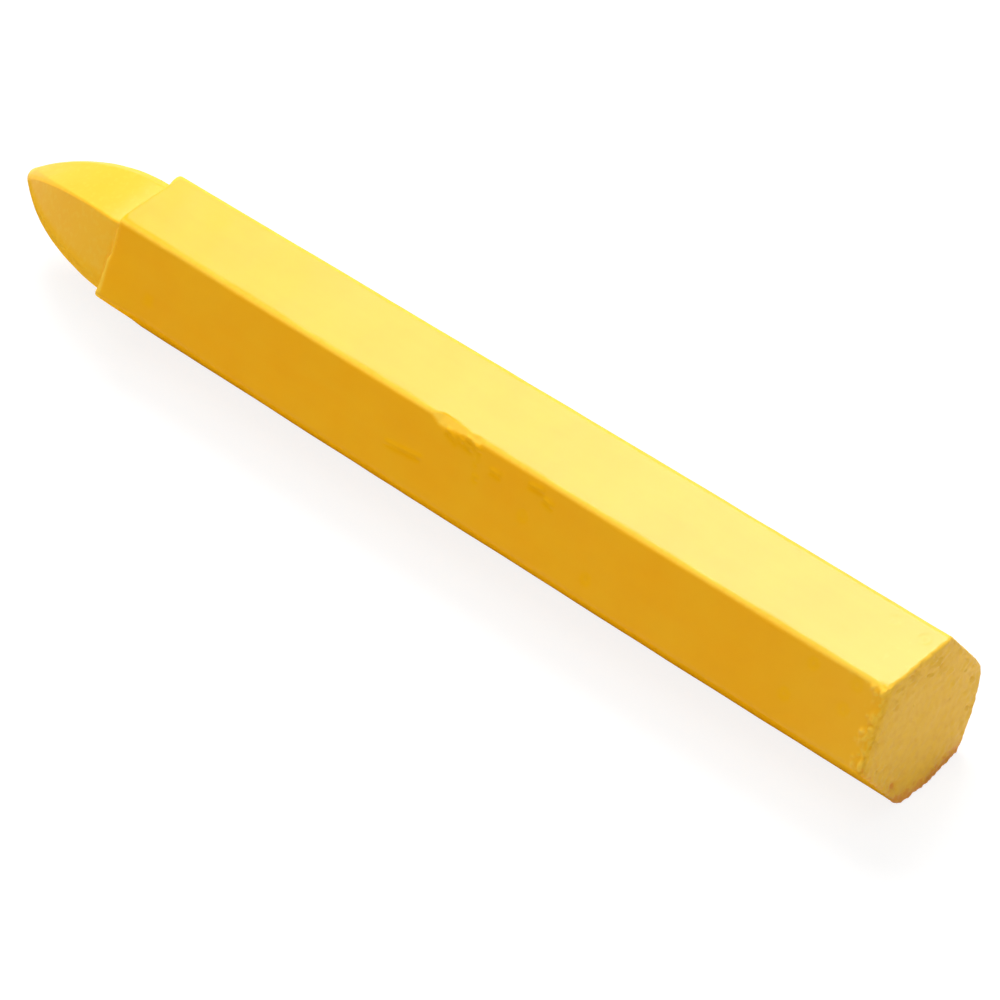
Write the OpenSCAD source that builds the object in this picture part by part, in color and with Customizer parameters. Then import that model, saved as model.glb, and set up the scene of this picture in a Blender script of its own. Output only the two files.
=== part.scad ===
// Hexagonal tire marking crayon, cast in one piece from pigmented wax.
//
// It lies on one of its flats, along X. The marking tip points to -X and the flat
// butt to +X. The origin is under the middle of its length, on the surface it lies on.

/* [Body] */
// Width across two opposite flats of the hexagonal body
across_flats = 14; // [10:0.5:20]
// Length of the hexagonal body, from the shoulder to the butt
body_length = 99.5; // [60:0.5:140]
// Radius of the six long arrises, as the mould leaves them
arris_radius = 0.6; // [0.3:0.1:1.5]
// Radius of the edge round the shoulder
shoulder_edge_radius = 0.3; // [0.1:0.1:0.6]
// Radius of the edge round the butt
butt_edge_radius = 0.7; // [0.2:0.1:1.5]

/* [Tip] */
// Length of the tip, from the shoulder to the nose
tip_length = 19.7; // [14:0.1:30]
// Step from each flat of the body down to the flat of the tip in front of it
shoulder_step = 0.85; // [0.5:0.05:1.5]
// Width of the tip at the shoulder, measured over its rounded ridges
tip_over_ridges = 13.5; // [12.9:0.1:13.8]
// Radius of the blunt nose
nose_radius = 1.2; // [0.8:0.1:2]

/* [Wear] */
// Distance from the shoulder to the middle of the nick in the upper arris
nick_distance = 47.5; // [20:0.5:60]
// Length of the nick, along the arris
nick_length = 5.5; // [2:0.5:10]
// Depth of the nick, below the sharp corner that the two flats would make
nick_depth = 0.35; // [0.3:0.05:0.6]

/* [Hidden] */
$fn = 96;

wax_yellow = [0.93, 0.72, 0.13];

// The three pairs of opposite flats, as turns about the long axis
FLAT_TURNS = [0, 60, 120];
// The two side flats and the top flat meet at the upper arris towards -Y
NICK_ARRIS_TURN = 120;

total_length = tip_length + body_length;
shoulder_x = tip_length - total_length / 2;
axis_z = across_flats / 2;

// Distances from the long axis
flat_apothem = across_flats / 2;
sharp_corner = flat_apothem / cos(30);
tip_apothem = flat_apothem - shoulder_step;
tip_ridge = tip_over_ridges / 2;

// The tip's arcs start along the axis at the shoulder and touch a circle at the nose.
// The flats aim at a slightly larger circle, so that they run out just behind the nose
// and leave it round.
nose_centre = tip_length - nose_radius;
flat_nose_radius = 1.05 * nose_radius;
ridge_arc = arc_radius(tip_ridge, nose_radius);
flat_arc = arc_radius(tip_apothem, flat_nose_radius);

// How far the tip is carried on inside the body, and cutters past what they cut
root_overlap = 2;
clear = 1;

// Radius of the arc that leaves half_width along the axis and touches the nose circle
function arc_radius(half_width, end_radius) =
    (nose_centre * nose_centre / (half_width - end_radius) + half_width + end_radius) / 2;

// Radius of the circle with a chord of this length and height
function chord_radius(chord, height) = (chord * chord / 4 + height * height) / (2 * height);

// Solid between a pair of opposite flats: the side view that is its child, drawn along X,
// is carried through the crayon's width
module between_flats(turn) {
    rotate([turn, 0, 0])
        rotate([90, 0, 0])
            linear_extrude(height = 2 * sharp_corner + 2 * clear, center = true)
                children();
}

// Hexagon with an arc at each corner that touches both flats. Each pair of flats is a
// rectangle: its sides are as long as the arcs' centres are far from the axis.
module rounded_hexagon() {
    corner_centre = (flat_apothem - arris_radius) / cos(30);
    for (turn = FLAT_TURNS)
        rotate(turn)
            square([across_flats, corner_centre], center = true);
    for (corner = [0 : 5])
        rotate(30 + 60 * corner)
            translate([corner_centre, 0])
                circle(arris_radius);
}

// Side view of the body: a bar with a small round at the shoulder and a larger one at the butt
module body_side_view() {
    union() {
        translate([0, shoulder_edge_radius - flat_apothem])
            square([body_length - butt_edge_radius, 2 * (flat_apothem - shoulder_edge_radius)]);
        translate([shoulder_edge_radius, -flat_apothem])
            square([body_length - shoulder_edge_radius - butt_edge_radius, across_flats]);
        translate([body_length / 2, butt_edge_radius - flat_apothem])
            square([body_length / 2, 2 * (flat_apothem - butt_edge_radius)]);
        for (side = [-1, 1]) {
            translate([shoulder_edge_radius, side * (flat_apothem - shoulder_edge_radius)])
                circle(shoulder_edge_radius);
            translate([body_length - butt_edge_radius, side * (flat_apothem - butt_edge_radius)])
                circle(butt_edge_radius);
        }
    }
}

// Side view of the tip's flats: two arcs that meet past the nose
module tip_side_view() {
    intersection() {
        translate([0, tip_apothem - flat_arc])
            circle(flat_arc);
        translate([0, flat_arc - tip_apothem])
            circle(flat_arc);
        translate([-tip_length - clear, -tip_apothem - clear])
            square([tip_length + clear + root_overlap, 2 * (tip_apothem + clear)]);
    }
}

// Half outline of the tip's ridges and nose, to be turned about the long axis.
// Its height is the distance in front of the shoulder.
module tip_half_outline() {
    touch_height = nose_centre * ridge_arc / (ridge_arc - nose_radius);
    intersection() {
        translate([tip_ridge - ridge_arc, 0])
            circle(ridge_arc);
        translate([0, -root_overlap])
            square([tip_ridge, root_overlap + touch_height]);
    }
    intersection() {
        translate([0, nose_centre])
            circle(nose_radius);
        translate([0, touch_height])
            square([nose_radius, tip_length - touch_height]);
    }
}

// Hexagonal body with flat shoulder and butt
module body() {
    intersection() {
        intersection_for (turn = FLAT_TURNS)
            between_flats(turn)
                body_side_view();
        translate([-clear, 0, 0])
            rotate([0, 90, 0])
                linear_extrude(height = body_length + 2 * clear)
                    rounded_hexagon();
    }
}

// Six-sided pointed arch: its ridges soften towards the blunt nose
module tip() {
    intersection() {
        intersection_for (turn = FLAT_TURNS)
            between_flats(turn)
                tip_side_view();
        rotate([0, -90, 0])
            rotate_extrude()
                tip_half_outline();
    }
}

// Shallow scoop that a knock has left across the arris
module nick() {
    scoop_radius = chord_radius(nick_length, nick_depth);
    rotate([NICK_ARRIS_TURN, 0, 0])
        translate([nick_distance, sharp_corner + scoop_radius - nick_depth, 0])
            cylinder(h = across_flats, r = scoop_radius, center = true);
}

module crayon() {
    color(wax_yellow)
        translate([shoulder_x, 0, axis_z])
            difference() {
                union() {
                    body();
                    tip();
                }
                nick();
            }
}

crayon();
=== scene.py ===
# %% [markdown]
# A hexagonal tire marking crayon is one casting of pigmented wax. The mould gives it
# six flats, a step down to a six-sided pointed tip, and a plain butt. This lesson
# models it from one hexagon, ages its edges, and gives it a satin wax finish.
# The CAD model comes first: it is the frame that every size here has to fit.

# %% Load the frame
import math
import random

import bmesh
import bpy
import numpy as np
from mathutils import Matrix, Vector


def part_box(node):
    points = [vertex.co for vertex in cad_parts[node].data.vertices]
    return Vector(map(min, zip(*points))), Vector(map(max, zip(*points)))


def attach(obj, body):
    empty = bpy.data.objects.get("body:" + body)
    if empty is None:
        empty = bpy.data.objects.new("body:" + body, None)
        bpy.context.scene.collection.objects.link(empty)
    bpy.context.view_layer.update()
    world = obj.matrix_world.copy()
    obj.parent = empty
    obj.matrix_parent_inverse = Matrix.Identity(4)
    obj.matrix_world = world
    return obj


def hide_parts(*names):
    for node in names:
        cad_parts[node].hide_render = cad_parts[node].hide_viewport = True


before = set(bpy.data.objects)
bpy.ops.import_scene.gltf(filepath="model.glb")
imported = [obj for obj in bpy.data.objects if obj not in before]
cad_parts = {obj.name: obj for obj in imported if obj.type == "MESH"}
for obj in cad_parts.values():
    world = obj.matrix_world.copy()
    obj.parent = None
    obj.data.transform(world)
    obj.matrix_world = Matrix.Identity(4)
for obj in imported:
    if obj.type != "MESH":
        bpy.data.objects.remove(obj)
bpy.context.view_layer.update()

MM = 0.001
low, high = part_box("crayon")
print("CAD box in mm:", [round(c / MM, 2) for c in low], [round(c / MM, 2) for c in high])

# %% [markdown]
# Sizes that the frame's box shows are read from it: the width across the flats is its
# height, because the crayon lies on a flat. The rest are the mould's own sizes.
# The crayon points to -X, so its shoulder is a tip's length from the low end.

# %% Sizes
ACROSS_FLATS = high.z - low.z
TIP_LENGTH = 19.7 * MM
TIP_OVER_RIDGES = 13.5 * MM
SHOULDER_STEP = 0.85 * MM
NOSE_RADIUS = 1.2 * MM
ARRIS_RADIUS = 0.6 * MM
SHOULDER_EDGE_RADIUS = 0.3 * MM
BUTT_EDGE_RADIUS = 0.35 * MM

APOTHEM = ACROSS_FLATS / 2
SHARP_CORNER = APOTHEM / math.cos(math.radians(30))
AXIS_Z = low.z + APOTHEM
SHOULDER_X = low.x + TIP_LENGTH
BUTT_X = high.x
BODY_LENGTH = BUTT_X - SHOULDER_X
print("body length in mm:", round(BODY_LENGTH / MM, 2))

# %% [markdown]
# The camera looks down on the crayon from its butt end, a long lens a little over
# 400 mm away. It is aimed at a point on the crayon, turned about the upright, raised,
# and rolled a little, which is how a hand-held camera ends up.

# %% Camera
AIM = Vector((SHOULDER_X + 51.35 * MM, -3.7 * MM, AXIS_Z))
CAMERA_DISTANCE = 0.4118
CAMERA_TURN = math.radians(-38.275)
CAMERA_RISE = math.radians(42.58)
CAMERA_ROLL = math.radians(-8.715)
LENS, SENSOR_WIDTH = 164, 36
NEAREST_SEEN = 0.01

outward = Vector((
    math.cos(CAMERA_RISE) * math.cos(CAMERA_TURN),
    math.cos(CAMERA_RISE) * math.sin(CAMERA_TURN),
    math.sin(CAMERA_RISE)))
camera_data = bpy.data.cameras.new("camera")
camera_data.lens = LENS
camera_data.sensor_width = SENSOR_WIDTH
camera_data.clip_start = NEAREST_SEEN
camera = bpy.data.objects.new("camera", camera_data)
bpy.context.scene.collection.objects.link(camera)
camera.location = AIM + CAMERA_DISTANCE * outward
level = outward.to_track_quat("Z", "Y").to_matrix()
camera.rotation_euler = (level @ Matrix.Rotation(CAMERA_ROLL, 3, "Z")).to_euler()
bpy.context.scene.camera = camera
print("camera at", [round(c, 4) for c in camera.location])

# %% [markdown]
# Operators act on whatever is selected, so a small helper empties the selection first.
# Another selects vertices of the mesh in edit mode by a test on their place.

# %% Selection helpers
def deselect():
    bpy.ops.object.select_all(action="DESELECT")


def pick_vertices(piece, test):
    """Selects, in edit mode, the vertices whose place passes a test."""
    bpy.ops.mesh.select_mode(type="VERT")
    bpy.ops.mesh.select_all(action="DESELECT")
    mesh = bmesh.from_edit_mesh(piece.data)
    for vertex in mesh.verts:
        if test(vertex.co):
            vertex.select_set(True)
    mesh.select_flush(True)
    bmesh.update_edit_mesh(piece.data)


def pick_long_edges(piece, shortest):
    """Selects, in edit mode, the edges that are longer than a length."""
    bpy.ops.mesh.select_mode(type="EDGE")
    bpy.ops.mesh.select_all(action="DESELECT")
    mesh = bmesh.from_edit_mesh(piece.data)
    for edge in mesh.edges:
        if edge.calc_length() > shortest:
            edge.select_set(True)
    bmesh.update_edit_mesh(piece.data)


# %% [markdown]
# The section comes first. A filled circle with six sides is the hexagon. Beveling its
# vertices rounds the corners that become the long arrises. The offset of a bevel is
# measured along the sides, so the radius is turned into that length. The long sides
# are then cut finely, because later steps press small marks into them.

# %% The hexagonal section
ARRIS_SEGMENTS = 5
FLAT_CUTS = 36

deselect()
bpy.ops.mesh.primitive_circle_add(
    vertices=6, radius=SHARP_CORNER, fill_type="NGON",
    location=(BUTT_X, 0, AXIS_Z), rotation=(0, math.radians(90), 0))
crayon = bpy.context.object
crayon.name = "wax_crayon"
bpy.ops.object.transform_apply(location=True, rotation=True, scale=True)
bpy.ops.object.mode_set(mode="EDIT")
bpy.ops.mesh.select_all(action="SELECT")
bpy.ops.mesh.bevel(
    offset=ARRIS_RADIUS * math.tan(math.radians(30)), offset_type="OFFSET",
    segments=ARRIS_SEGMENTS, profile=0.5, affect="VERTICES")
pick_long_edges(crayon, ARRIS_RADIUS)
bpy.ops.mesh.subdivide(number_cuts=FLAT_CUTS)
bpy.ops.mesh.select_all(action="SELECT")
bpy.ops.mesh.delete(type="ONLY_FACE")
bpy.ops.mesh.select_mode(type="VERT")
bpy.ops.mesh.select_all(action="SELECT")
section_points = len(bmesh.from_edit_mesh(crayon.data).verts)
print("points round the section:", section_points)

# %% [markdown]
# The section is drawn at the butt. The round of the butt's edge is a quarter of a
# circle, so the ring is first drawn in to where that quarter starts, and then
# extruded along it in small steps, growing to its full width.

# %% Rings
def resize_ring(x, width):
    """Brings the selected ring from its present half width to another."""
    mesh = bmesh.from_edit_mesh(crayon.data)
    ring = [v for v in mesh.verts if v.select]
    present = max(v.co.z for v in ring) - AXIS_Z
    size = width / present
    bpy.ops.transform.resize(value=(1, size, size), center_override=(x, 0, AXIS_Z))


def next_ring(x, from_x, width):
    """Extrudes the selected ring along the crayon, to a half width across its flats."""
    bpy.ops.mesh.extrude_region_move(TRANSFORM_OT_translate={"value": (x - from_x, 0, 0)})
    resize_ring(x, width)


ROUND_STEPS = 5

resize_ring(BUTT_X, APOTHEM - BUTT_EDGE_RADIUS)
ring_x = BUTT_X
for step in range(1, ROUND_STEPS + 1):
    angle = math.radians(90) * step / ROUND_STEPS
    x = BUTT_X - BUTT_EDGE_RADIUS * (1 - math.cos(angle))
    next_ring(x, ring_x, APOTHEM - BUTT_EDGE_RADIUS * (1 - math.sin(angle)))
    ring_x = x
print("butt edge rounded in", ROUND_STEPS, "rings")

# %% [markdown]
# The body is a plain prism, so each stretch of it is one long extrusion whose edges are
# then cut into short lengths. The stretches near the butt, round the nick and near the
# shoulder are cut finer, because the wear there is small.

# %% Body
STRETCHES = [
    (BUTT_X - 2.6 * MM, 0.15 * MM),
    (BUTT_X - 11 * MM, 0.28 * MM),
    (SHOULDER_X + 67 * MM, 0.6 * MM),
    (SHOULDER_X + 43 * MM, 0.2 * MM),
    (SHOULDER_X + 2 * MM, 0.6 * MM),
    (SHOULDER_X + SHOULDER_EDGE_RADIUS, 0.13 * MM),
]
SAME_PLACE = 0.01 * MM

for end_x, cell in STRETCHES:
    length = ring_x - end_x
    rings = round(length / cell)
    next_ring(end_x, ring_x, APOTHEM)
    pick_long_edges(crayon, 0.9 * length)
    bpy.ops.mesh.subdivide(number_cuts=rings - 1)
    ring_x = end_x
    pick_vertices(crayon, lambda place: place.x < ring_x + SAME_PLACE)
    print("stretch of", round(length / MM, 2), "mm cut into", rings, "rings")

# %% [markdown]
# At the shoulder the ring turns in over a small round and then runs flat to the tip.

# %% Shoulder
SHOULDER_FACE_STEPS = 4

for step in range(1, ROUND_STEPS + 1):
    angle = math.radians(90) * step / ROUND_STEPS
    x = SHOULDER_X + SHOULDER_EDGE_RADIUS * (1 - math.sin(angle))
    next_ring(x, ring_x, APOTHEM - SHOULDER_EDGE_RADIUS * (1 - math.cos(angle)))
    ring_x = x
shoulder_face = SHOULDER_STEP - SHOULDER_EDGE_RADIUS
for step in range(1, SHOULDER_FACE_STEPS):
    inset = shoulder_face * step / SHOULDER_FACE_STEPS
    next_ring(SHOULDER_X, ring_x, APOTHEM - SHOULDER_EDGE_RADIUS - inset)
print("shoulder face in mm:", round(shoulder_face / MM, 2))

# %% [markdown]
# The tip is a pointed arch. Seen from the side, its flats and its ridges are arcs that
# start along the axis at the shoulder and end on the blunt nose. The flats aim at a
# slightly larger nose than the ridges, so the ridges soften until the nose is round.
# Each new ring is extruded, and its points are put on whichever is nearer the axis:
# the flat that they belong to, or the circle over the ridges. The two ends of the mould
# don't quite line up, so the tip sits to one side of the body, more so at its root. The
# ridge that is uppermost on the front has kept its edge better than the rest.

# %% Tip
TIP_OFFSET, ROOT_OFFSET = -0.22 * MM, -0.45 * MM
ROOT_REACH = 6 * MM
CRISP_RIDGE = math.radians(120)
CRISP_RIDGE_EXTRA = 0.3 * MM
TIP_RINGS = 56
NOSE_HOLE = 0.04
NOSE_CENTRE = TIP_LENGTH - NOSE_RADIUS
FLAT_NOSE = 1.12


def arch(forward, half_width, nose):
    """Half width, at a distance in front of the shoulder, of an arc that ends on the nose."""
    radius = (NOSE_CENTRE ** 2 / (half_width - nose) + half_width + nose) / 2
    touch = NOSE_CENTRE * radius / (radius - nose)
    if forward < touch:
        return half_width - radius + math.sqrt(radius ** 2 - forward ** 2)
    return math.sqrt(max(nose ** 2 - (forward - NOSE_CENTRE) ** 2, 0))


def shape_tip_ring(forward):
    """Puts the selected ring's points on the tip's flats and ridges."""
    flat = arch(forward, APOTHEM - SHOULDER_STEP, FLAT_NOSE * NOSE_RADIUS)
    ridge = arch(forward, TIP_OVER_RIDGES / 2, NOSE_RADIUS)
    crisp_ridge = arch(forward, TIP_OVER_RIDGES / 2 + CRISP_RIDGE_EXTRA, NOSE_RADIUS)
    offset = np.interp(forward, (0, ROOT_REACH), (ROOT_OFFSET, TIP_OFFSET))
    mesh = bmesh.from_edit_mesh(crayon.data)
    for vertex in [v for v in mesh.verts if v.select]:
        turn = math.atan2(vertex.co.z - AXIS_Z, vertex.co.y - offset)
        off_flat = (turn - math.radians(60)) % math.radians(60) - math.radians(30)
        on_crisp = abs(turn - CRISP_RIDGE) < math.radians(30)
        reach = min(flat / math.cos(off_flat), crisp_ridge if on_crisp else ridge)
        vertex.co = (SHOULDER_X - forward, offset + reach * math.cos(turn),
                     AXIS_Z + reach * math.sin(turn))
    bmesh.update_edit_mesh(crayon.data)


# Steps get shorter towards the nose, where the outline turns in fastest
forwards = [TIP_LENGTH * math.sin(math.radians(90) * (1 - NOSE_HOLE) * ring / TIP_RINGS)
            for ring in range(TIP_RINGS + 1)]
for forward in forwards:
    next_ring(SHOULDER_X - forward, ring_x, APOTHEM - SHOULDER_STEP)
    ring_x = SHOULDER_X - forward
    shape_tip_ring(forward)
bpy.ops.mesh.extrude_region_move(TRANSFORM_OT_translate={"value": (low.x - ring_x, 0, 0)})
bpy.ops.mesh.merge(type="CENTER")
print("tip rings:", len(forwards))

# %% [markdown]
# The butt is still open. Grid fill closes a round hole with rows of even squares,
# which take pits and crumbs better than a fan of thin triangles.

# %% Butt
pick_vertices(crayon, lambda place: place.x > BUTT_X - SAME_PLACE)
bpy.ops.mesh.fill_grid(span=section_points // 4)
bpy.ops.mesh.select_all(action="SELECT")
bpy.ops.mesh.normals_make_consistent(inside=False)
bpy.ops.object.mode_set(mode="OBJECT")
bpy.ops.object.shade_smooth()
print("faces:", len(crayon.data.polygons))

# %% [markdown]
# The clean casting is done, and the wear comes next. All of it is painted as weights,
# the way a sculptor would mask an area, and moved by a Displace modifier. The weights
# are worked out from each vertex's place, measured in millimetres back from the
# shoulder and out from the long axis, so a mark goes where it is on the real crayon.

# %% Weights and displacement
CORNER = SHARP_CORNER / MM
FLAT = APOTHEM / MM
BODY = BODY_LENGTH / MM


def read_places():
    """The vertices' places in mm, from the middle of the shoulder."""
    places = np.empty(3 * len(crayon.data.vertices))
    crayon.data.vertices.foreach_get("co", places)
    return (places.reshape(-1, 3) - (SHOULDER_X, 0, AXIS_Z)) / MM


def fade(values, start, end):
    """Rises smoothly from 0 to 1 as the values go from start to end."""
    part = np.clip((values - start) / (end - start), 0, 1)
    return part * part * (3 - 2 * part)


def displace(name, weights, height, direction="NORMAL", grain=0):
    """Moves the weighted vertices: evenly, or by clouds with a grain in mm."""
    group = crayon.vertex_groups.new(name=name)
    for index in np.nonzero(weights > 0.001)[0]:
        group.add([int(index)], float(weights[index]), "REPLACE")
    modifier = crayon.modifiers.new(name, "DISPLACE")
    modifier.vertex_group = name
    modifier.direction = direction
    modifier.strength = height * MM
    modifier.mid_level = 0
    if grain:
        clouds = bpy.data.textures.new(name, "CLOUDS")
        clouds.noise_scale = grain * MM
        modifier.texture = clouds
        modifier.texture_coords = "LOCAL"
        modifier.mid_level = 0.5
    deselect()
    crayon.select_set(True)
    bpy.context.view_layer.objects.active = crayon
    bpy.ops.object.modifier_apply(modifier=name)
    crayon.vertex_groups.remove(crayon.vertex_groups[name])


def move(name, heights, direction="NORMAL"):
    """Moves each vertex by its own height in mm: first what sinks, then what rises."""
    for part, side in ((-heights, -1), (heights, 1)):
        most = float(part.max())
        if most > 0:
            displace(name, np.clip(part, 0, None) / most, side * most, direction)
    print(name, "from", round(float(heights.min()), 2), "to", round(float(heights.max()), 2), "mm")


# %% [markdown]
# Handling rubs the six arrises rounder than they were cast. The upper one nearest the
# hand is rubbed most. The worn arris is a round of a larger radius, so each vertex that
# stands out of that round sinks onto it. Slow waves in the radius keep it from looking
# machined. The casting is also a little fuller in its middle than at its ends, and its
# lower front arris flares out at the shoulder.

# %% Rubbed arrises
UPPER_FRONT = 120
WORN_RADII = {0: 0.85, 60: 0.65, UPPER_FRONT: 0.85, 180: 0.7, 240: 0.9, 300: 0.85}
SWELL = 0.16
FLARE = 0.25


def off_arris(places, turn):
    """Each vertex's distance from the sharp corner line of one arris."""
    angle = math.radians(turn)
    return np.hypot(places[:, 1] - CORNER * math.cos(angle),
                    places[:, 2] - CORNER * math.sin(angle))


def proud_of_round(places, turn, radius):
    """How far each vertex stands out of one arris when that arris has a larger radius."""
    angle = math.radians(turn)
    centre = (FLAT - radius) / math.cos(math.radians(30))
    across = places[:, 1] - centre * math.cos(angle)
    up = places[:, 2] - centre * math.sin(angle)
    off_middle = (np.arctan2(up, across) - angle + math.pi) % (2 * math.pi) - math.pi
    in_corner = np.abs(off_middle) < math.radians(30)
    return np.clip(np.hypot(across, up) - radius, 0, None) * in_corner


places = read_places()
back = places[:, 0]
on_body = fade(back, -0.1, 0.2)
rub = np.zeros(len(places))
for turn, radius in WORN_RADII.items():
    waves = 1 + 0.1 * np.sin(0.37 * back + turn) + 0.06 * np.sin(1.1 * back + 2 * turn)
    rub += proud_of_round(places, turn, radius * waves) * on_body
move("rubbed_arrises", -rub)
fuller = fade(back, 4, 35) * (1 - 0.8 * fade(back, 75, BODY))
flared = on_body * (1 - fade(back, 1, 6)) * fade(-places[:, 1], 5, 8)
move("swollen_middle", SWELL * places[:, 1] / CORNER * fuller - FLARE * flared, "Y")

# %% [markdown]
# Half way along, something knocked the upper front arris and left a nick. It starts with
# a short wall, runs out along the crayon and ends in a second, smaller chip. It is cut
# like a facet with a file: whatever stands above the facet's plane is moved down onto it,
# and the depth of the plane changes along the crayon. The nick has bared paler wax, and
# the wax just under it is bruised.

# %% Nick
NICK_PLACES = (43.9, 45.2, 46.2, 49.3, 49.7, 50.4, 50.7)
NICK_DEPTHS = (0, 0.3, 0.26, 0.1, 0.19, 0.15, 0)
FACET_TURN = math.radians(127)
FACET_OUT = np.array([math.cos(FACET_TURN), math.sin(FACET_TURN)])
UPPER_FRONT_CORNER = np.array([-CORNER / 2, FLAT])
BRUISE_HEIGHT, BRUISE_GRAIN = 0.22, 0.42

places = read_places()
back = places[:, 0]
above_corner = (places[:, 1:] - UPPER_FRONT_CORNER) @ FACET_OUT
depth = np.interp(back, NICK_PLACES, NICK_DEPTHS)
cut = np.clip(above_corner + depth, 0, None) * (depth > 0)
move("nick_sideways", -cut * FACET_OUT[0], "Y")
move("nick_down", -cut * FACET_OUT[1], "Z")
bruised = fade(back, 44.5, 46.5) * (1 - fade(back, 50.3, 51.2))
bruised *= 1 - fade(off_arris(places, UPPER_FRONT), 1.0, 2.0)
bruised *= places[:, 1] < -CORNER / 2 - 0.3
displace("bruised", bruised, BRUISE_HEIGHT, grain=BRUISE_GRAIN)

# %% [markdown]
# Small marks lie on the flats. A scratch is a groove with a lip thrown up beside it. A
# burst bubble is a shallow ring. Each is placed by the turn of its flat round the axis,
# the distance behind the shoulder and the distance across the flat, so one function
# finds its point in space, and the heights follow from how far each vertex is away.

# %% Scratches and bubbles
FRONT_FLAT, TOP_FLAT = 150, 90
UP_FRONT_FLAT = np.array([0, 0.5, 0.866])
SCRATCHES = [
    ((50.2, -2.9), (50.6, -1.7)), ((52.5, -1.8), (53.6, -1.75)),
    ((57.2, -2.6), (58.7, -2.7)), ((59.2, -2.05), (60.2, -1.9)),
    ((40.1, 1.3), (44.1, 0.9)), ((46.4, -2.9), (47.7, -2.4)),
    ((48.0, -2.8), (49.7, -2.5)), ((49.0, -3.3), (50.7, -2.9)),
    ((50.8, -0.4), (51.1, -0.3)),
]
BURST_BUBBLES = [
    (FRONT_FLAT, 57.4, 0.1), (FRONT_FLAT, 66.1, 2.1), (FRONT_FLAT, 91.6, -2.6),
    (FRONT_FLAT, 95.8, -0.4), (FRONT_FLAT, 89.7, 1.3), (FRONT_FLAT, 96.4, -3.0),
    (TOP_FLAT, 94.4, -2.4), (TOP_FLAT, 97.8, -2.4), (FRONT_FLAT, 6.5, 1.7),
]
HIDDEN_FLATS = (30, 210, 270, 330)
GROOVE_WIDTH, GROOVE_DEPTH, GROOVE_LIP = 0.19, 0.08, 0.14
LIP_SHIFT = 1.8 * GROOVE_WIDTH
BUBBLE_RADIUS, BUBBLE_RIM, BUBBLE_DEPTH = 0.42, 0.2, 0.05
# The lips and rings are painted paler too: partly scraped wax, partly a painted highlight where
# they would catch the light.
PALE_HIGHLIT_LIP, PALE_HIGHLIT_RING = 0.2, 0.15


def flat_point(turn, behind, across):
    """A point on a flat, in mm from the middle of the shoulder."""
    angle = math.radians(turn)
    return np.array([behind,
                     FLAT * math.cos(angle) - across * math.sin(angle),
                     FLAT * math.sin(angle) + across * math.cos(angle)])


def off_line(places, start, end):
    """Each vertex's distance from a line between two points."""
    line = end - start
    part = np.clip((places - start) @ line / (line @ line), 0, 1)
    return np.linalg.norm(places - start - part[:, None] * line, axis=1)


places = read_places()
marks = np.zeros(len(places))
pale_and_highlit_marks = np.zeros(len(places))
for start, end in SCRATCHES:
    start, end = flat_point(FRONT_FLAT, *start), flat_point(FRONT_FLAT, *end)
    groove = off_line(places, start, end) / GROOVE_WIDTH
    start, end = start + LIP_SHIFT * UP_FRONT_FLAT, end + LIP_SHIFT * UP_FRONT_FLAT
    lip = off_line(places, start, end) / GROOVE_WIDTH
    marks += GROOVE_LIP * np.exp(-lip ** 2) - GROOVE_DEPTH * np.exp(-groove ** 2)
    pale_and_highlit_marks += PALE_HIGHLIT_LIP * np.exp(-lip ** 2)
dice = random.Random(4)
for turn in HIDDEN_FLATS:
    for count in range(4):
        BURST_BUBBLES.append((turn, dice.uniform(6, 94), dice.uniform(-3, 3)))
for turn, behind, across in BURST_BUBBLES:
    off = np.linalg.norm(places - flat_point(turn, behind, across), axis=1)
    ring = np.exp(-((off - BUBBLE_RADIUS) / BUBBLE_RIM) ** 2)
    marks -= BUBBLE_DEPTH * ring
    pale_and_highlit_marks += PALE_HIGHLIT_RING * ring
move("marks", marks)

# %% [markdown]
# At the front of the shoulder the mould left a lip of flash. It starts with a small
# kink half way down the front flat and stands further forward towards the lower arris.
# The rim of the shoulder moves forward, so the lip overhangs the step to the tip, and
# then leans in, so it catches the light as a thin pale strip. The upper corner at the
# back of the shoulder has a little flash too.

# %% Flash at the shoulder
OUT_OF_FRONT_FLAT = np.array([0, -0.866, 0.5])
CORNER_FLASH = 0.28
STRIP_WIDTH, STRIP_LEAN, LOWER_LEAN = 0.65, 0.22, 0.12

places = read_places()
back = places[:, 0]
down_front = -(places @ UP_FRONT_FLAT)
out_front = places @ OUT_OF_FRONT_FLAT
lower_half = fade(down_front, -0.25, 0.4)
rim = fade(out_front, 6.15, 6.6) * fade(back, -0.6, -0.01)
flash = 0.06 * fade(down_front, -4, 0) + 0.4 * lower_half + 0.15 * fade(down_front, 0.4, 4)
flash *= rim * (1 - fade(back, 0.25, 1.1)) * fade(places[:, 2], -2.5, -0.2)
back_corner = (1 - fade(off_arris(places, 60), 0.6, 1.8)) * (1 - fade(back, 0.25, 0.9))
move("flash", -flash - CORNER_FLASH * back_corner * fade(back, -0.6, -0.01), "X")
strip = np.clip(1 - back / STRIP_WIDTH, 0, 1) * rim * (1 - fade(down_front, 3, 4.2))
lean = (STRIP_LEAN + LOWER_LEAN * lower_half) * strip
move("strip_sideways", -OUT_OF_FRONT_FLAT[1] * lean, "Y")
move("strip_down", -OUT_OF_FRONT_FLAT[2] * lean, "Z")

# %% [markdown]
# The butt was broken off the sprue, so it isn't flat. It bulges at its lower edge and is
# set back at two corners, one of which has its arris rubbed away too.

# %% Uneven butt
BULGE, BULGE_SIDE, BULGE_SPREAD = 0.24, -1.4, 2.6
OUTER_CORNER, OUTER_SET_BACK, OUTER_SPREAD, SLANT = 0, 0.25, 2.4, 0.12
LOWER_CORNER, LOWER_SET_BACK, LOWER_SPREAD = 300, 0.2, 1.5
CORNER_RUB = 0.22

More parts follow.
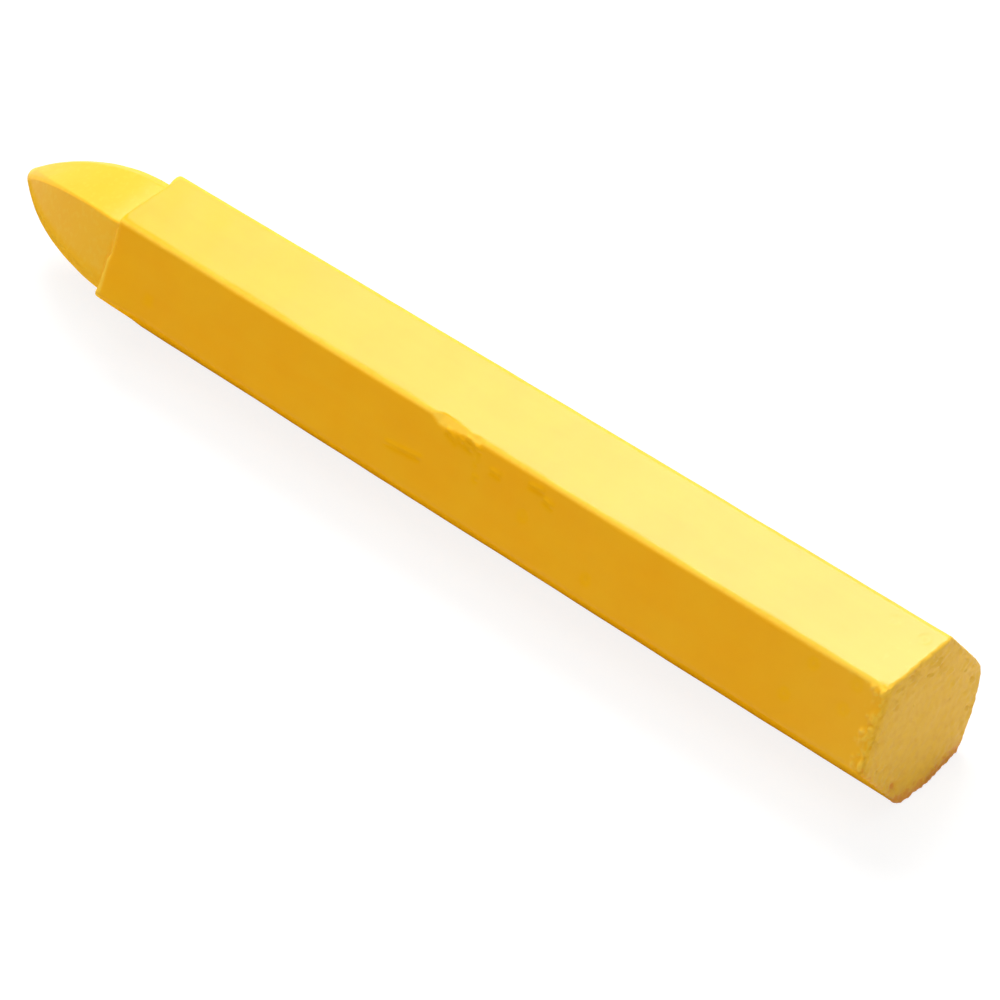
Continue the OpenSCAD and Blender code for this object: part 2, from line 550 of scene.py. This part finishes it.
places = read_places()
back, side, rise = places.T
at_butt = fade(back, BODY - 2.2, BODY - 0.3)
bulge = BULGE * np.exp(-((side - BULGE_SIDE) / BULGE_SPREAD) ** 2) * fade(-rise, 3.5, 6.6)
set_back = OUTER_SET_BACK * np.exp(-(off_arris(places, OUTER_CORNER) / OUTER_SPREAD) ** 2)
set_back += SLANT * fade(side, 2, 6)
set_back += LOWER_SET_BACK * np.exp(-(off_arris(places, LOWER_CORNER) / LOWER_SPREAD) ** 2)
uneven = (bulge - set_back) * at_butt
move("uneven_butt", uneven, "X")
corner_rub = CORNER_RUB * np.clip(1 - off_arris(places, OUTER_CORNER) / 2, 0, 1) ** 2
move("rubbed_corner", -corner_rub * fade(back, BODY - 4, BODY))

# %% [markdown]
# Its front edge has crumbled and its lower edge is torn. The weights fall away from the
# lines between the corners, and clouds with a fine grain throw the surface up and down.
# The crumbled front edge carries a row of crumbs too, which catch the light from above.
# The whole end is a little rough, and uneven in a coarser grain.

# %% Crumbled and torn edges
EDGE_CRUMBS, EDGE_CRUMB_HEIGHT = 70, 0.2

places = read_places()
back, side, rise = places.T
corners = [np.array([BODY, CORNER * math.cos(math.radians(turn)),
                     CORNER * math.sin(math.radians(turn))]) for turn in range(0, 360, 60)]
edges = [off_line(places, corners[edge], corners[(edge + 1) % 6]) for edge in range(6)]
crumbly = np.clip(1 - edges[2] / 1.3, 0, 1)
torn = np.clip(1 - np.minimum(edges[3], edges[4]) / 1.2, 0, 1)
worn = np.clip(1 - np.minimum(np.minimum(edges[0], edges[1]), edges[5]) / 0.7, 0, 1)
displace("crumbs", crumbly, 0.5, grain=0.32)
displace("fine_crumbs", crumbly, 0.35, grain=0.17)
edge_crumbs = np.zeros(len(places))
for count in range(EDGE_CRUMBS):
    behind = BODY - 0.1 - min(dice.expovariate(2.2), 1.6)
    off = np.linalg.norm(places - flat_point(FRONT_FLAT, behind, dice.uniform(-4.1, 4)), axis=1)
    edge_crumbs += dice.uniform(0.5, 1) * np.exp(-(off / dice.uniform(0.13, 0.2)) ** 2)
move("edge_crumbs", EDGE_CRUMB_HEIGHT * np.clip(edge_crumbs, 0, 1.2))
displace("torn_edge", torn, 0.34, grain=0.35)
displace("worn_edge", worn, 0.2, grain=0.5)
on_end = fade(read_places()[:, 0] - uneven, BODY - 0.35, BODY - 0.05)
displace("rough_end", on_end, 0.16, grain=0.4)
displace("uneven_end", on_end, 0.15, grain=2.5)

# %% [markdown]
# A few crumbs and one hole are placed where the real end has them, by how far to the side
# and how high they are. Many smaller crumbs are strewn by chance, most of them close to
# the edges, and every third of them is a pit.

# %% Crumbs, pits and a hole
CRUMBS = [
    (-2.6, 5.9, 0.2), (1.6, 6.0, 0.18), (2.2, 5.2, 0.15), (2.9, 4.0, 0.18), (3.8, 1.6, 0.2),
    (-1.2, -0.4, 0.16), (-3.3, -0.4, 0.18), (-1.5, -3.5, 0.17), (-2.3, -3.8, 0.22),
    (0.4, -5.6, 0.2), (-0.9, -6.0, 0.24), (1.9, -5.2, 0.18), (5.3, -0.9, 0.2), (4.6, -3.3, 0.2),
]
CRUMB_HEIGHT = 0.16
SMALL_CRUMBS = 110
FLAT_TURNS = (0, 60, 120, 150, 180, 210, 240, 270, 300, 330)
HOLE_SIDE, HOLE_RISE, HOLE_RADIUS, HOLE_DEPTH = -4.4, -4.4, 0.42, 0.3

crumbs = np.zeros(len(places))
pits = np.zeros(len(places))
for crumb_side, crumb_rise, radius in CRUMBS:
    crumbs += np.exp(-((side - crumb_side) ** 2 + (rise - crumb_rise) ** 2) / radius ** 2)
for count in range(SMALL_CRUMBS):
    turn = math.radians(dice.choice(FLAT_TURNS))
    turn += math.radians(dice.uniform(-30, 30))
    reach = 6.7 - min(dice.expovariate(1), 5)
    radius = dice.uniform(0.11, 0.2)
    off = (side - reach * math.cos(turn)) ** 2 + (rise - reach * math.sin(turn)) ** 2
    if count % 3:
        crumbs += 0.7 * np.exp(-off / radius ** 2)
    else:
        pits += np.exp(-off / radius ** 2)
crumbs *= on_end
pits *= on_end
hole = np.exp(-((side - HOLE_SIDE) ** 2 + (rise - HOLE_RISE) ** 2) / HOLE_RADIUS ** 2) * on_end
move("end_marks", CRUMB_HEIGHT * (crumbs - pits) - HOLE_DEPTH * hole, "X")

# %% [markdown]
# Wax shrinks as it sets, so no flat is a true plane. Broad, very low clouds over the
# whole crayon, and finer ones on the tip, bend the light as the real surface does. Last,
# whatever has sunk under the floor is pressed back up, since the crayon rests on it.

# %% Uneven casting
places = read_places()
displace("shrinkage", np.ones(len(places)), 0.09, grain=7)
displace("handled_tip", 1 - fade(places[:, 0], -1.5, 0), 0.05, grain=2.2)
move("pressed_on_floor", np.clip(-FLAT - read_places()[:, 2], 0, None), "Z")
print("faces:", len(crayon.data.polygons))

# %% [markdown]
# The material has to know where the wax is made paler and where darker. Masks
# are stored on the mesh as attributes, worked out from the same places as the wear. The
# paler mask is part real rubbing and part painted highlight. It takes in the two upper
# arrises, worn and painted as highlights, the tip and its nose, where it paints part of
# their light and sheen over handling wear, the last stretch before the butt, the rim of the
# shoulder, which is a painted highlight, the bared wax of the nick, and every scratch, bubble
# and crumb, paler wax with a painted highlight on it. Another takes in the dull broken end,
# and a third paints shade on the torn lower edges of the butt and in its pits and hole, and
# darkens the crumbled edge a little.

# %% Masks for the colours
# How much the two upper arrises are made paler: wear, with a painted highlight where they catch
# the light.
ARRIS_WEAR_AND_HIGHLIGHT = {60: 0.7, UPPER_FRONT: 0.9}


def store_mask(name, values):
    attribute = crayon.data.attributes.new(name, "FLOAT", "POINT")
    attribute.data.foreach_set("value", np.clip(values, 0, 1).astype(np.float32))
    print("mask", name, "covers", round(float(np.mean(values > 0.1)), 3))


places = read_places()
back, side, rise = places.T
on_tip = 1 - fade(back, -0.4, 0)
at_nose = 1 - fade(back, -19.8, -17.5)
turns = np.degrees(np.arctan2(rise, side + 0.3 * on_tip))
on_top = 1 - fade(np.abs(turns - 90), 27, 32)
# The tip is paler, a little less on its top, and the nose most: painted light and sheen over
# handling wear.
rub_and_highlight = (0.5 - 0.1 * on_top) * on_tip + 0.9 * at_nose
# Pale bands along the upper arrises, painted highlights over the wear.
for turn, share in ARRIS_WEAR_AND_HIGHLIGHT.items():
    rub_and_highlight += share * (1 - fade(off_arris(places, turn), 0.1, 0.5)) * on_body
# Paler over the last stretch before the butt and along the butt's top edge.
rub_and_highlight += 0.25 * fade(back, BODY - 12, BODY) + np.clip(1 - edges[1] / 0.5, 0, 1)
# Scratches, bubbles and crumbs get a painted highlight over paler wax, the pale strip a painted
# highlight, the nick its bared wax.
rub_and_highlight += pale_and_highlit_marks + strip + 0.8 * crumbs + 0.7 * edge_crumbs + np.clip(8 * cut, 0, 1)
# The far side of the end is a little paler.
rub_and_highlight += 0.3 * fade(side, 3, 7) * on_end
# The rim of the shoulder is a painted highlight.
rub_and_highlight += 0.8 * (1 - fade(back, 0.1, 0.35)) * on_body
store_mask("rub_and_highlight", rub_and_highlight)
store_mask("broken_end", 0.5 * on_end * (1 - 0.7 * crumbly))
# Painted shade: the lower edges of the butt, which face down, are made darker, and so are its pits
# and hole; the crumbled edge is darkened a little.
shade_and_stain = np.clip(1.5 - edges[4] / 1.2, 0, 1) + 0.6 * np.clip(1 - edges[3] / 0.8, 0, 1)
shade_and_stain *= fade(back, BODY - 1, BODY - 0.3)
store_mask("shade_and_stain", shade_and_stain + 0.15 * crumbly + 0.4 * pits + hole)

# %% [markdown]
# The last mask says where the polish is lost. The under side lay in the lower half of the
# mould and came out matt, and only the top flat has kept all its polish. The half nearer the
# tip, the marks, the pale strip and the crumbled edge have lost more of it, and the nose,
# which is handled most, has none missing.

# %% Mask for the polish
under = fade(-rise, -0.3, 0.5) * (1 - on_tip) + fade(-rise, -1.7, -0.3) * on_tip
polish_lost = under + 0.3 * (1 - on_top) + 0.2 * on_tip * (1 - on_top)
polish_lost += 0.2 * (1 - fade(back, 30, BODY)) * (1 - on_tip)
polish_lost += np.clip(20 * np.abs(marks), 0, 1) * (1 - on_top)
polish_lost += 2 * strip + (1 - fade(back, 0.1, 0.4)) * on_body * (1 - on_top)
store_mask("matt", polish_lost * (1 - on_end) * (1 - at_nose) + 0.6 * crumbly)

# %% [markdown]
# The floor is white and plain. What the camera and any reflection see of it is lifted to
# white by a glow, while the light that it bounces onto the wax stays that of a pale
# floor. The glow leaves room for a soft shadow under the crayon.

# %% Floor
FLOOR_SIZE = 6
FLOOR_PALE = 0.8
SHADOW_SHARE = 0.2
FLOOR_GLOW = 0.84


def seen_by_eye(tree):
    """A value that is 1 for camera, glossy and transmission rays."""
    rays = tree.nodes.new("ShaderNodeLightPath")
    seen = rays.outputs["Is Camera Ray"]
    for kind in ("Is Glossy Ray", "Is Transmission Ray"):
        either = tree.nodes.new("ShaderNodeMath")
        either.operation = "MAXIMUM"
        tree.links.new(seen, either.inputs[0])
        tree.links.new(rays.outputs[kind], either.inputs[1])
        seen = either.outputs[0]
    return seen


deselect()
bpy.ops.mesh.primitive_plane_add(size=FLOOR_SIZE, location=(0, 0, low.z))
floor = bpy.context.object
floor.name = "floor"

floor_material = bpy.data.materials.new("white_floor")
floor_material.use_nodes = True
nodes = floor_material.node_tree.nodes
links = floor_material.node_tree.links
nodes.clear()
output = nodes.new("ShaderNodeOutputMaterial")
lit = nodes.new("ShaderNodeBsdfDiffuse")
lit.inputs["Color"].default_value = (FLOOR_PALE, FLOOR_PALE, FLOOR_PALE, 1)
shaded = nodes.new("ShaderNodeBsdfDiffuse")
shaded.inputs["Color"].default_value = (SHADOW_SHARE, SHADOW_SHARE, SHADOW_SHARE, 1)
glow = nodes.new("ShaderNodeEmission")
glow.inputs["Strength"].default_value = FLOOR_GLOW
seen = nodes.new("ShaderNodeAddShader")
which = nodes.new("ShaderNodeMixShader")
links.new(shaded.outputs[0], seen.inputs[0])
links.new(glow.outputs[0], seen.inputs[1])
links.new(seen_by_eye(floor_material.node_tree), which.inputs[0])
links.new(lit.outputs[0], which.inputs[1])
links.new(seen.outputs[0], which.inputs[2])
links.new(which.outputs[0], output.inputs["Surface"])
floor.data.materials.append(floor_material)
print("floor", FLOOR_SIZE, "m wide")

# %% [markdown]
# The light is that of a small product studio. A large softbox behind the crayon puts a
# broad sheen on its upper flat. Another overhead and one in front fill the flats, and a
# low one faces the butt. The world adds a little light from all round, and is white
# where the eye sees it.

# %% Lights
WORLD_FILL = 0.08


def soft_lamp(name, direction, distance, size, watts):
    """A square softbox that faces the crayon from a direction."""
    lamp_data = bpy.data.lights.new(name, "AREA")
    lamp_data.shape = "SQUARE"
    lamp_data.size = size
    lamp_data.energy = watts
    lamp = bpy.data.objects.new(name, lamp_data)
    bpy.context.scene.collection.objects.link(lamp)
    away = Vector(direction).normalized()
    lamp.location = AIM + distance * away
    lamp.rotation_euler = away.to_track_quat("Z", "Y").to_euler()
    print("lamp", name, watts, "W")


def ramp(tree, share, start, end):
    """A value that goes from start to end as a share goes from 0 to 1."""
    node = tree.nodes.new("ShaderNodeMapRange")
    node.inputs["To Min"].default_value = start
    node.inputs["To Max"].default_value = end
    tree.links.new(share, node.inputs["Value"])
    return node.outputs["Result"]


soft_lamp("back_softbox", (-0.39, 0.48, 0.72), 0.8, 0.45, 8.05)
soft_lamp("overhead_softbox", (0.05, -0.1, 1.0), 1.0, 0.6, 3.4)
soft_lamp("front_softbox", (0.08, -0.8, 0.45), 1.0, 0.6, 2.08)
soft_lamp("end_softbox", (1.0, 0.2, 0.12), 0.9, 0.5, 1.45)

world = bpy.data.worlds.new("studio")
world.use_nodes = True
background = world.node_tree.nodes["Background"]
background.inputs["Color"].default_value = (1, 1, 1, 1)
strength = ramp(world.node_tree, seen_by_eye(world.node_tree), WORLD_FILL, 1)
world.node_tree.links.new(strength, background.inputs["Strength"])
bpy.context.scene.world = world
bpy.context.scene.view_settings.view_transform = "Standard"
print("world fill", WORLD_FILL)

# %% [markdown]
# The finish is built from node groups, so that the smooth skin and the broken end can
# share them with their own values. A helper makes an empty group with named sockets.
# Inside a group, patterns read Object coordinates, which are metres on this model, so a
# pattern's size in millimetres is turned into a scale first.

# %% Node group helpers
def shader_group(name, inputs, outputs):
    """An empty shader node group with named sockets, and its input and output nodes."""
    group = bpy.data.node_groups.new(name, "ShaderNodeTree")
    for socket_name, kind, value in inputs:
        socket = group.interface.new_socket(socket_name, in_out="INPUT", socket_type=kind)
        socket.default_value = value
    for socket_name, kind in outputs:
        group.interface.new_socket(socket_name, in_out="OUTPUT", socket_type=kind)
    return group, group.nodes.new("NodeGroupInput"), group.nodes.new("NodeGroupOutput")


def math_node(group, operation, first, second):
    """A math node on two inputs, each a socket or a number."""
    node = group.nodes.new("ShaderNodeMath")
    node.operation = operation
    for slot, value in enumerate((first, second)):
        if isinstance(value, (int, float)):
            node.inputs[slot].default_value = value
        else:
            group.links.new(value, node.inputs[slot])
    return node.outputs[0]


def clouds(group, size, detail=3, stretch=None):
    """Noise between 0 and 1 whose patches have a size in mm, given as a socket or number."""
    coordinates = group.nodes.new("ShaderNodeTexCoord").outputs["Object"]
    if stretch:
        mapping = group.nodes.new("ShaderNodeMapping")
        mapping.inputs["Scale"].default_value = stretch
        group.links.new(coordinates, mapping.inputs["Vector"])
        coordinates = mapping.outputs["Vector"]
    noise = group.nodes.new("ShaderNodeTexNoise")
    noise.inputs["Detail"].default_value = detail
    group.links.new(coordinates, noise.inputs["Vector"])
    group.links.new(math_node(group, "DIVIDE", 1 / MM, size), noise.inputs["Scale"])
    return noise.outputs["Fac"]


def between(group, value, low_end, high_end):
    """Stretches a value so that it goes from 0 to 1 between two ends."""
    node = group.nodes.new("ShaderNodeMapRange")
    node.inputs["From Min"].default_value = low_end
    node.inputs["From Max"].default_value = high_end
    group.links.new(value, node.inputs["Value"])
    return node.outputs["Result"]


def blend_colours(group, share, first, second):
    """Mixes two colour sockets by a share."""
    node = group.nodes.new("ShaderNodeMix")
    node.data_type = "RGBA"
    group.links.new(share, node.inputs["Factor"])
    group.links.new(first, node.inputs["A"])
    group.links.new(second, node.inputs["B"])
    return node.outputs["Result"]


# %% [markdown]
# Pigment settles unevenly in cast wax, so the yellow drifts slowly between a deeper and
# a paler tone. Two clouds of different sizes do this: broad patches, and faint streaks
# along the crayon where it was pulled from the mould.

# %% Group for patchy wax
COLOUR, NUMBER = "NodeSocketColor", "NodeSocketFloat"

patchy_wax, ends_in, ends_out = shader_group(
    "patchy_wax",
    [("Deep Colour", COLOUR, (1, 1, 1, 1)), ("Pale Colour", COLOUR, (1, 1, 1, 1)),
     ("Patch Size", NUMBER, 5)],
    [("Colour", COLOUR)])
patches = clouds(patchy_wax, ends_in.outputs["Patch Size"])
streaks = clouds(patchy_wax, 1.2, stretch=(0.12, 1, 1))
both = math_node(patchy_wax, "ADD", math_node(patchy_wax, "MULTIPLY", patches, 0.7),
                 math_node(patchy_wax, "MULTIPLY", streaks, 0.3))
tone = blend_colours(patchy_wax, between(patchy_wax, both, 0.35, 0.65),
                     ends_in.outputs["Deep Colour"], ends_in.outputs["Pale Colour"])
patchy_wax.links.new(tone, ends_out.inputs["Colour"])
print("group", patchy_wax.name)

# %% [markdown]
# One group serves all the colour masks: the real wear, and the painted highlights and
# shade. It lays a second colour over the first where a mask says so. Wax rubs and crumbles
# in grains, so a share of the mask can be turned into specks: the higher the mask, the more
# of the fine clouds stand above its level. It also puts the broken mask out, for roughness.

# %% Group for wear and painted light
wear_and_painted_light, ends_in, ends_out = shader_group(
    "wear_and_painted_light",
    [("Colour", COLOUR, (1, 1, 1, 1)), ("Laid Colour", COLOUR, (1, 1, 1, 1)),
     ("Mask", NUMBER, 0), ("Grain Size", NUMBER, 0.4), ("Specks", NUMBER, 0.3)],
    [("Colour", COLOUR), ("Broken Mask", NUMBER)])
grains = clouds(wear_and_painted_light, ends_in.outputs["Grain Size"], detail=4)
grains = between(wear_and_painted_light, grains, 0.3, 0.7)
mask = ends_in.outputs["Mask"]
over = math_node(wear_and_painted_light, "SUBTRACT", math_node(wear_and_painted_light, "ADD", mask, grains), 1)
specks = between(wear_and_painted_light, over, 0, 0.3)
evenly = math_node(wear_and_painted_light, "SUBTRACT", 1, ends_in.outputs["Specks"])
broken = math_node(wear_and_painted_light, "ADD", math_node(wear_and_painted_light, "MULTIPLY", mask, evenly),
                   math_node(wear_and_painted_light, "MULTIPLY", specks, ends_in.outputs["Specks"]))
laid_over = blend_colours(wear_and_painted_light, broken, ends_in.outputs["Colour"],
                          ends_in.outputs["Laid Colour"])
wear_and_painted_light.links.new(laid_over, ends_out.inputs["Colour"])
wear_and_painted_light.links.new(broken, ends_out.inputs["Broken Mask"])
print("group", wear_and_painted_light.name)

# %% [markdown]
# The surface itself is a fine grain with small pores. The group puts out a height for a
# Bump node. Pores are the middles of Voronoi cells, and only some cells have one.

# %% Group for the skin's relief
wax_relief, ends_in, ends_out = shader_group(
    "wax_relief",
    [("Grain Size", NUMBER, 0.3), ("Grain Share", NUMBER, 0.5), ("Pore Spacing", NUMBER, 2),
     ("Pore Depth", NUMBER, 0.5)],
    [("Height", NUMBER)])
grain = clouds(wax_relief, ends_in.outputs["Grain Size"], detail=3)
ripples = clouds(wax_relief, 1.6, detail=2)
pores = wax_relief.nodes.new("ShaderNodeTexVoronoi")
wax_relief.links.new(wax_relief.nodes.new("ShaderNodeTexCoord").outputs["Object"],
                     pores.inputs["Vector"])
wax_relief.links.new(math_node(wax_relief, "DIVIDE", 1 / MM, ends_in.outputs["Pore Spacing"]),
                     pores.inputs["Scale"])
near_middle = between(wax_relief, pores.outputs["Distance"], 0.2, 0.05)
cell_has_one = math_node(wax_relief, "GREATER_THAN", pores.outputs["Color"], 0.6)
pore = math_node(wax_relief, "MULTIPLY", near_middle, cell_has_one)
height = math_node(wax_relief, "MULTIPLY", grain, ends_in.outputs["Grain Share"])
height = math_node(wax_relief, "ADD", height, ripples)
height = math_node(wax_relief, "SUBTRACT", height,
                   math_node(wax_relief, "MULTIPLY", pore, ends_in.outputs["Pore Depth"]))
wax_relief.links.new(height, ends_out.inputs["Height"])
print("group", wax_relief.name)

# %% [markdown]
# A material holds each group as one node. One helper places it and sets its inputs by
# name, and another reads a mask from the mesh.

# %% Material helpers
def place_group(tree, group, values):
    """A group's node in a material, with inputs set by name."""
    node = tree.nodes.new("ShaderNodeGroup")
    node.node_tree = group
    for name, value in values.items():
        node.inputs[name].default_value = value
    return node


def stored_mask(tree, name):
    """The socket of a mask that is stored on the mesh."""
    node = tree.nodes.new("ShaderNodeAttribute")
    node.attribute_name = name
    return node.outputs["Fac"]


# %% [markdown]
# Both finishes are the same wax, so one function lays the groups out and takes their
# values. The colour goes through the masks in turn: rubbed pale with painted highlights and
# sheen, then dulled at the end, then darkened with painted shade. The polish is a thin coat
# over a base with no gloss of its own, because a coat's weight may change over a surface,
# and the matt mask takes it away where the polish is lost. The base's roughness is there for
# programs that know no coat. Constant values are set on the shader itself.

# %% Wax materials
WAX_IOR = 1.45
RUBBED_DULLNESS = 0.04
# The first colour is rubbed wax with painted highlights and sheen; the last is mostly painted
# shade.
LAYERS = [
    {"mask": "rub_and_highlight", "colour": (1.0, 0.6, 0.055, 1), "grain": 0.6, "specks": 0.2},
    {"mask": "broken_end", "colour": (0.96, 0.53, 0.01, 1), "grain": 0.7, "specks": 0.3},
    {"mask": "shade_and_stain", "colour": (0.9, 0.35, 0.01, 1), "grain": 0.4, "specks": 0.6},
]


def wax_material(name, deep, pale, patch_size, grain_size, pore_spacing, relief, roughness,
                 polish):
    """A wax finish from the three groups; relief is the height of its bump in mm."""
    material = bpy.data.materials.new(name)
    material.use_nodes = True
    tree = material.node_tree
    shader = tree.nodes["Principled BSDF"]
    shader.inputs["Specular IOR Level"].default_value = 0
    shader.inputs["Coat IOR"].default_value = WAX_IOR
    shader.inputs["Coat Roughness"].default_value = roughness
    coat = ramp(tree, stored_mask(tree, "matt"), polish, 0)
    tree.links.new(coat, shader.inputs["Coat Weight"])

    base = place_group(tree, patchy_wax, {
        "Deep Colour": deep, "Pale Colour": pale, "Patch Size": patch_size})
    colour = base.outputs["Colour"]
    worn = {}
    for layer in LAYERS:
        node = place_group(tree, wear_and_painted_light, {
            "Laid Colour": layer["colour"], "Grain Size": layer["grain"],
            "Specks": layer["specks"]})
        tree.links.new(colour, node.inputs["Colour"])
        tree.links.new(stored_mask(tree, layer["mask"]), node.inputs["Mask"])
        colour = node.outputs["Colour"]
        worn[layer["mask"]] = node.outputs["Broken Mask"]
    tree.links.new(colour, shader.inputs["Base Color"])
    dullness = ramp(tree, worn["rub_and_highlight"], roughness, roughness + RUBBED_DULLNESS)
    tree.links.new(dullness, shader.inputs["Roughness"])

    skin_relief = place_group(tree, wax_relief, {
        "Grain Size": grain_size, "Pore Spacing": pore_spacing})
    bump = tree.nodes.new("ShaderNodeBump")
    bump.inputs["Strength"].default_value = 1
    bump.inputs["Distance"].default_value = relief * MM
    tree.links.new(skin_relief.outputs["Height"], bump.inputs["Height"])
    tree.links.new(bump.outputs["Normal"], shader.inputs["Normal"])
    print("material", name, "roughness", roughness)
    return material


skin = wax_material("wax_skin", deep=(0.97, 0.44, 0.003, 1), pale=(0.97, 0.475, 0.006, 1),
                    patch_size=6, grain_size=0.25, pore_spacing=2.2, relief=0.015, roughness=0.3,
                    polish=0.57)
end = wax_material("broken_wax", deep=(0.88, 0.44, 0.01, 1), pale=(1.0, 0.60, 0.025, 1),
                   patch_size=0.7, grain_size=0.35, pore_spacing=1.1, relief=0.12, roughness=0.45,
                   polish=0.93)
crayon.data.materials.append(skin)
crayon.data.materials.append(end)

# %% [markdown]
# The broken finish belongs to the end faces only. They are picked in edit mode by the
# way they face, as one would with Select Similar, and given the second material.

# %% Finish of the end
END_FACES_ALONG = 0.4
END_FACES_FROM = BUTT_X - 1 * MM

deselect()
crayon.select_set(True)
bpy.context.view_layer.objects.active = crayon
bpy.ops.object.mode_set(mode="EDIT")
bpy.ops.mesh.select_mode(type="FACE")
bpy.ops.mesh.select_all(action="DESELECT")
end_faces = [face for face in bmesh.from_edit_mesh(crayon.data).faces
             if face.normal.x > END_FACES_ALONG
             and face.calc_center_median().x > END_FACES_FROM]
for face in end_faces:
    face.select_set(True)
bmesh.update_edit_mesh(crayon.data)
crayon.active_material_index = 1
bpy.ops.object.material_slot_assign()
print("end faces:", len(end_faces))
bpy.ops.object.mode_set(mode="OBJECT")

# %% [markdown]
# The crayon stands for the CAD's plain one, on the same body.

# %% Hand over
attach(crayon, "root")
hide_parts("crayon")
